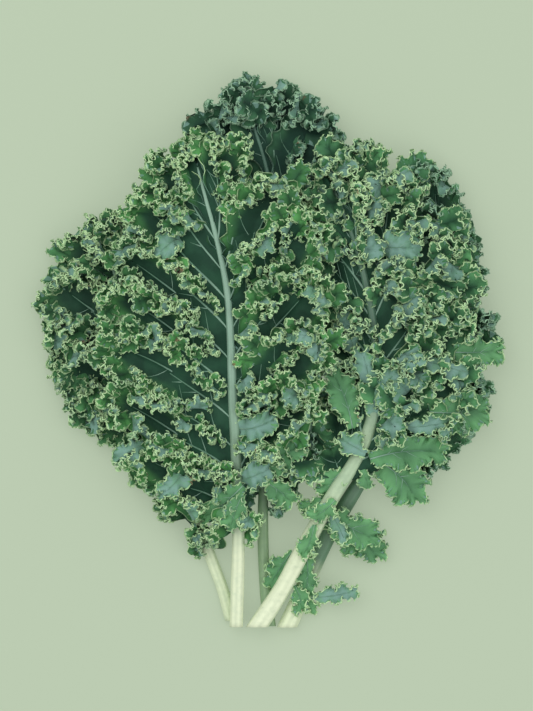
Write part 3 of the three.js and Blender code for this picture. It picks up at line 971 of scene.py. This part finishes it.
# Single lobes stand out of the frills: some turn over and show their bluish undersides, some are smooth and
# bright, and some hang from the stalks below the blade. For each leaf: the foot and the tip in mm (with the
# height over the table where they don't lie on the leaf), half the width, and which face is up.
FLAP_ROWS = np.array([1, 0.95, 0.87, 0.72, 0.48, 0.24, 0])
FLAP_UPPER = (1, 2, 4, 4, 8, 8, 8)
FLAP_LOWER = (1, 4, 8, 8, 8, 8, 8)
FLAP_WIDTHS = (0.3, 0.62, 0.86, 1.0, 1.0, 0.85, 0.6)
FLAP_RUFFLES = (
    {"length": 11.0, "height": 3.2, "sway": 2.2, "fold": 0.03, "inward": 0.95},
    {"length": 4.4, "height": 2.0, "sway": 0.5, "fold": 0.12, "inward": 0.4},
)
FLAP_STEP = 0.95
FLAP_RISE = 9
FLAPS = {
    "front_left": (
        ((-18, 139), (5, 144), 10, "under"),
        ((-58, 268), (-74, 258), 8, "under"),
        ((-84, 128), (-102, 118), 8, "under"),
        ((-58, 108), (-70, 94), 8, "under"),
        ((-17, 104), (2, 111), 8, "under"),
        ((-15.8, 100, 41), (-44, 76, 28), 9, "upper"),
        ((-16, 94, 40), (-25, 70, 36), 7, "upper"),
        ((-6, 106, 43), (25, 128, 40), 10, "upper"),
        ((-2, 103, 41), (18, 88, 32), 8, "upper"),
    ),
    "front_right": (
        ((76, 262), (104, 262), 11, "under"),
        ((61, 190), (49, 219), 7, "under"),
        ((74, 146), (66, 191), 9, "under"),
        ((76, 160), (89, 178), 7, "under"),
        ((68, 122, 42), (51, 132, 42), 7, "under"),
        ((59, 139, 38), (46, 177, 40), 10, "upper"),
        ((139, 177), (108, 185), 7, "under"),
        ((93, 141), (124, 143.5), 5.5, "under"),
        ((129, 191, 30), (160, 192, 24), 11, "upper"),
        ((112, 150, 34), (150, 152, 25), 14, "upper"),
        ((71, 118, 38), (121, 123, 31), 12, "upper"),
        ((78, 116, 32), (104, 91, 22), 14, "upper"),
        ((64.4, 114.4, 34), (70, 97, 28), 4, "upper"),
        ((52, 110, 33), (40, 90, 27), 8, "upper"),
        ((38, 90, 28), (27, 82, 24), 6, "upper"),
        ((33, 73, 35), (25, 51, 31), 5.5, "upper"),
        ((47, 90, 38), (31, 77, 36), 6, "upper"),
        ((18, 54, 17), (2, 29, 10), 6.5, "upper"),
        ((27, 54, 18), (26, 20, 12), 7, "upper"),
        ((38, 75, 22), (78, 50, 8), 11, "upper"),
        ((43, 78, 28), (75, 62, 20), 12, "upper"),
        ((43, 82, 32), (54, 62, 29), 5, "under"),
    ),
    "back_right": (
        ((29, 22, 9), (62, 27, 15), 5.5, "under"),
        ((27, 27, 10), (33, 10, 5), 4, "upper"),
        ((20, 30, 12), (25, 13, 12), 6, "upper"),
    ),
}


def height_at(name, place):
    """How high a leaf's smooth sheet stands near a place seen from above."""
    grids = [web_grids[name, side] for side in (1, -1)]
    grids += [points for side in (1, -1) for lobe, points in lobe_grids[name, side]]
    flat = np.concatenate([grid.reshape(-1, 3) for grid in grids])
    nearest = np.argsort(np.linalg.norm(flat[:, :2] - place, axis=1))[:40]
    return np.percentile(flat[nearest, 2], 70)


def under_flap(name, foot):
    """Whether a place on a leaf is covered by one of its flaps."""
    for start, end, half_width, face in FLAPS.get(name, ()):
        start, way = np.array(start[:2]), np.subtract(end[:2], start[:2])
        share = np.clip((foot[:2] - start) @ way / (way @ way), 0, 1)
        if np.linalg.norm(start + share * way - foot[:2]) < 0.75 * half_width:
            return True
    return False


def flap_sheet(vein, across, half_width, draw):
    """A single lobe on a curved vein, a little uneven all round."""
    starts = draw.uniform(0, 2 * np.pi, 2)

    def make(u):
        uneven = 1 + 0.14 * np.sin(2 * np.pi * 2.3 * u + starts[0])
        uneven = uneven + 0.1 * np.sin(2 * np.pi * 5.1 * u + starts[1])
        widths = half_width * uneven
        return vein_sheet(vein, across[None, :], widths, FLAP_WIDTHS, FAN_FOOT_ANGLE, FLAP_ROWS, u)[:2]

    return ruffle_all(make, FLAP_ROWS, FLAP_RUFFLES, 6, FLAP_STEP, 8, draw, 360)


lobe_paint = leaf_material("single_lobes", (0.05, 0.14, 0.075), (0.18, 0.45, 0.19), UNDER, RIM)
for name, flaps_here in FLAPS.items():
    parts, vein_parts = [], []
    draw = np.random.default_rng(LEAVES[name]["seed"] + 400)
    for start, end, half_width, face in flaps_here:
        if len(start) == 3:
            foot, tip = np.array(start), np.array(end)
            middle = 0.5 * (foot + tip) + (0, 0, 3)
        else:
            low = height_at(name, np.array(start))
            foot = np.array([*start, low])
            tip = np.array([*end, max(low, height_at(name, np.array(end))) + FLAP_RISE])
            middle = foot + 0.3 * (tip - foot)
            middle[2] = tip[2] + 3
        length = np.linalg.norm(tip - foot)
        tip = foot + (tip - foot) * (1 - 0.45 * half_width / length)
        heading = unit(tip - foot)
        leftward = unit(np.array([-heading[1], heading[0], 0]))
        middle = middle + leftward * length * draw.uniform(-0.15, 0.15)
        across = -leftward if face == "under" else leftward
        vein = bend(foot, middle, tip)
        grid, reach = flap_sheet(vein, across, half_width, draw)
        thickness = np.where(FLAP_ROWS == 1, RIM_THICKNESS, FAN_THICKNESS)
        inward = 10 * (1 - np.exp(-(1 - FLAP_ROWS)[None, :] * reach[:, None] / 10))
        parts.append(leaf_part(grid, inward, thickness, FLAP_UPPER, FLAP_LOWER, draw.uniform(0.5, 1)))
        paths = [(vein.at(np.linspace(0, 0.85, 14)), 0.05 * half_width)]
        for k in range(2):
            q = np.linspace(0, 1, 7)
            s = draw.uniform(0.15, 0.3) + 0.25 * k + 0.22 * q
            for place in (s / 2, 1 - s / 2):
                paths.append((on_grid(grid, FLAP_ROWS, place, 0.75 * q), 0.02 * half_width))
        for path, radius in paths:
            radius = min(radius, 0.75)
            raised = path + (0, 0, 0.3 * radius + 0.1)
            vein_parts.append(vein_part(raised, lambda v: radius * (1 - 0.65 * v), 5))
    points, faces, numbers = gathered(parts)
    flaps = mesh_piece(f"flaps_{name}", points, faces, numbers, lobe_paint)
    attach(flaps, "root")
    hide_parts(f"blade_{name}")
    points, faces, numbers = gathered(vein_parts)
    flap_veins = mesh_piece(f"flap_veins_{name}", points, faces, numbers, vein_paint)
    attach(flap_veins, "root")


def outline_of(leaf, rib, short):
    """The plain outline of both halves of a blade, seen from above."""
    s = np.linspace(0, 1, 60)
    left, right = (outline_point(leaf, rib, side, s, short)[0][:, :2] for side in (1, -1))
    return np.concatenate([left, right[::-1]])


def over_midrib(fan, rib, clear, seen):
    """Whether a fan would stand over the midrib where it shows."""
    low, high = seen
    foot, level, upward, lean, length = fan
    end = foot + length * max(0.2, math.cos(lean)) * level
    ends = np.stack([foot, end])[:, None, :2]
    return low < foot[1] < high and np.linalg.norm(ends - rib.points[::4, :2], axis=-1).min() < clear


def held_inside(fan, size):
    """Makes a fan smaller until it ends inside the bunch's outline, or to nothing if it can't."""
    foot, level, upward, lean, length = fan
    if not inside(BUNCH_EDGE, foot[:2]):
        return fan, 0
    shrunk = 1.0
    while size * shrunk > SMALLEST_FAN:
        reach = shrunk * (length * max(0.3, math.cos(lean)) + 0.5 * size)
        if inside(BUNCH_EDGE, (foot + reach * level)[:2]):
            break
        shrunk *= 0.85
    return (foot, level, upward, lean, length * shrunk), max(size * shrunk, SMALLEST_FAN + 0.1)


front_outlines = [outline_of(LEAVES[name], ribs[name], HIDDEN_FROM) for name in ("front_left", "front_right")]

for name, leaf in LEAVES.items():
    covers = front_outlines if name.startswith("back") else []
    for side, half_name in ((1, "left"), (-1, "right")):
        parts = []
        draw = np.random.default_rng(leaf["seed"] + 200 + side)
        for lobe, points in lobe_grids[name, side]:
            for fan, across, size, ruffles, shade in fans_of(lobe, points, leaf, draw):
                if any(inside(cover, fan[0]) for cover in covers) or under_flap(name, fan[0]):
                    continue
                if over_midrib(fan, ribs[name], leaf["midrib_shows"], leaf["midrib_seen"]):
                    continue
                fan, size = held_inside(fan, size)
                if size < SMALLEST_FAN:
                    continue
                grown = FAN_GROWN * size / 7
                grid, reach = fan_sheet(fan_vein(*fan), across, size, ruffles, grown, leaf["fan_step"], draw)
                thickness = np.where(FAN_ROWS == 1, RIM_THICKNESS, FAN_THICKNESS)
                inward = (1 - FAN_ROWS)[None, :] * reach[:, None]
                parts.append(leaf_part(grid, inward, thickness, FAN_UPPER, FAN_LOWER, shade))
        points, faces, numbers = gathered(parts)
        frill = mesh_piece(f"frill_{name}_{half_name}", points, faces, numbers, blade_paint[name])
        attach(frill, "root")
        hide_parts(f"blade_{name}")

# The table and the studio. A plain pale green table, faintly lit from within, fills the view. A large soft
# light stands over the bunch a little towards the tips and the left, and a weaker one fills from the right.
TABLE_COLOUR = (0.455, 0.55, 0.40)
TABLE_GLOW = 0.55
TABLE_SHADE = 0.48
TABLE_REACH = 6

table_paint = bpy.data.materials.new("table_paint")
table_paint.use_nodes = True
table_shader = table_paint.node_tree.nodes["Principled BSDF"]
table_shader.inputs["Base Color"].default_value = (*(TABLE_SHADE * c for c in TABLE_COLOUR), 1)
table_shader.inputs["Emission Color"].default_value = (*TABLE_COLOUR, 1)
table_shader.inputs["Emission Strength"].default_value = TABLE_GLOW
table_shader.inputs["Roughness"].default_value = 0.8

table_mesh = bpy.data.meshes.new("table")
corners = [(TABLE_REACH * x, TABLE_REACH * y, 0) for x, y in ((-1, -1), (1, -1), (1, 1), (-1, 1))]
table_mesh.from_pydata(corners, [], [(0, 1, 2, 3)])
table = bpy.data.objects.new("table", table_mesh)
table.data.materials.append(table_paint)
bpy.context.scene.collection.objects.link(table)
table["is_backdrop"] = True


def soft_light(name, place, size, power):
    """A square light that points at the middle of the table."""
    light = bpy.data.lights.new(name, "AREA")
    light.size = size
    light.energy = power
    lamp = bpy.data.objects.new(name, light)
    lamp.location = place
    x, y, z = place
    lamp.rotation_euler = (math.acos(z / math.hypot(x, y, z)), 0, math.atan2(-y, -x) - math.pi / 2)
    bpy.context.scene.collection.objects.link(lamp)


LIGHT_SIZE = 1.6
soft_light("window_side", (-0.5, 0.5, 1.6), LIGHT_SIZE, 14)
soft_light("fill_side", (0.8, -0.5, 1.6), LIGHT_SIZE, 8)

world = bpy.data.worlds.new("studio")
world.use_nodes = True
sky = world.node_tree.nodes["Background"]
sky.inputs["Color"].default_value = (1, 1, 1, 1)
sky.inputs["Strength"].default_value = 0.6
bpy.context.scene.world = world
bpy.context.scene.view_settings.view_transform = "Standard"

# The camera looks straight down on the bunch from above its middle. The picture is VIEW_HEIGHT
# high, in metres, at SEEN_AT over the table, where most leaves lie.
CAMERA_HEIGHT = 2.4
CAMERA_PLACE = (-0.0004, -0.0031)
VIEW_HEIGHT = 0.487
SEEN_AT = 0.03
SENSOR = 36

camera_data = bpy.data.cameras.new("camera")
camera_data.sensor_width = SENSOR
camera_data.sensor_fit = "AUTO"
camera_data.lens = SENSOR * (CAMERA_HEIGHT - SEEN_AT) / VIEW_HEIGHT
camera = bpy.data.objects.new("camera", camera_data)
camera.location = (*CAMERA_PLACE, CAMERA_HEIGHT)
bpy.context.scene.collection.objects.link(camera)
bpy.context.scene.camera = camera

seen_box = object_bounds()
boxes = {"cad": cad_box, "seen": seen_box}
boxes = {name: [list(map(float, corner)) for corner in box] for name, box in boxes.items()}
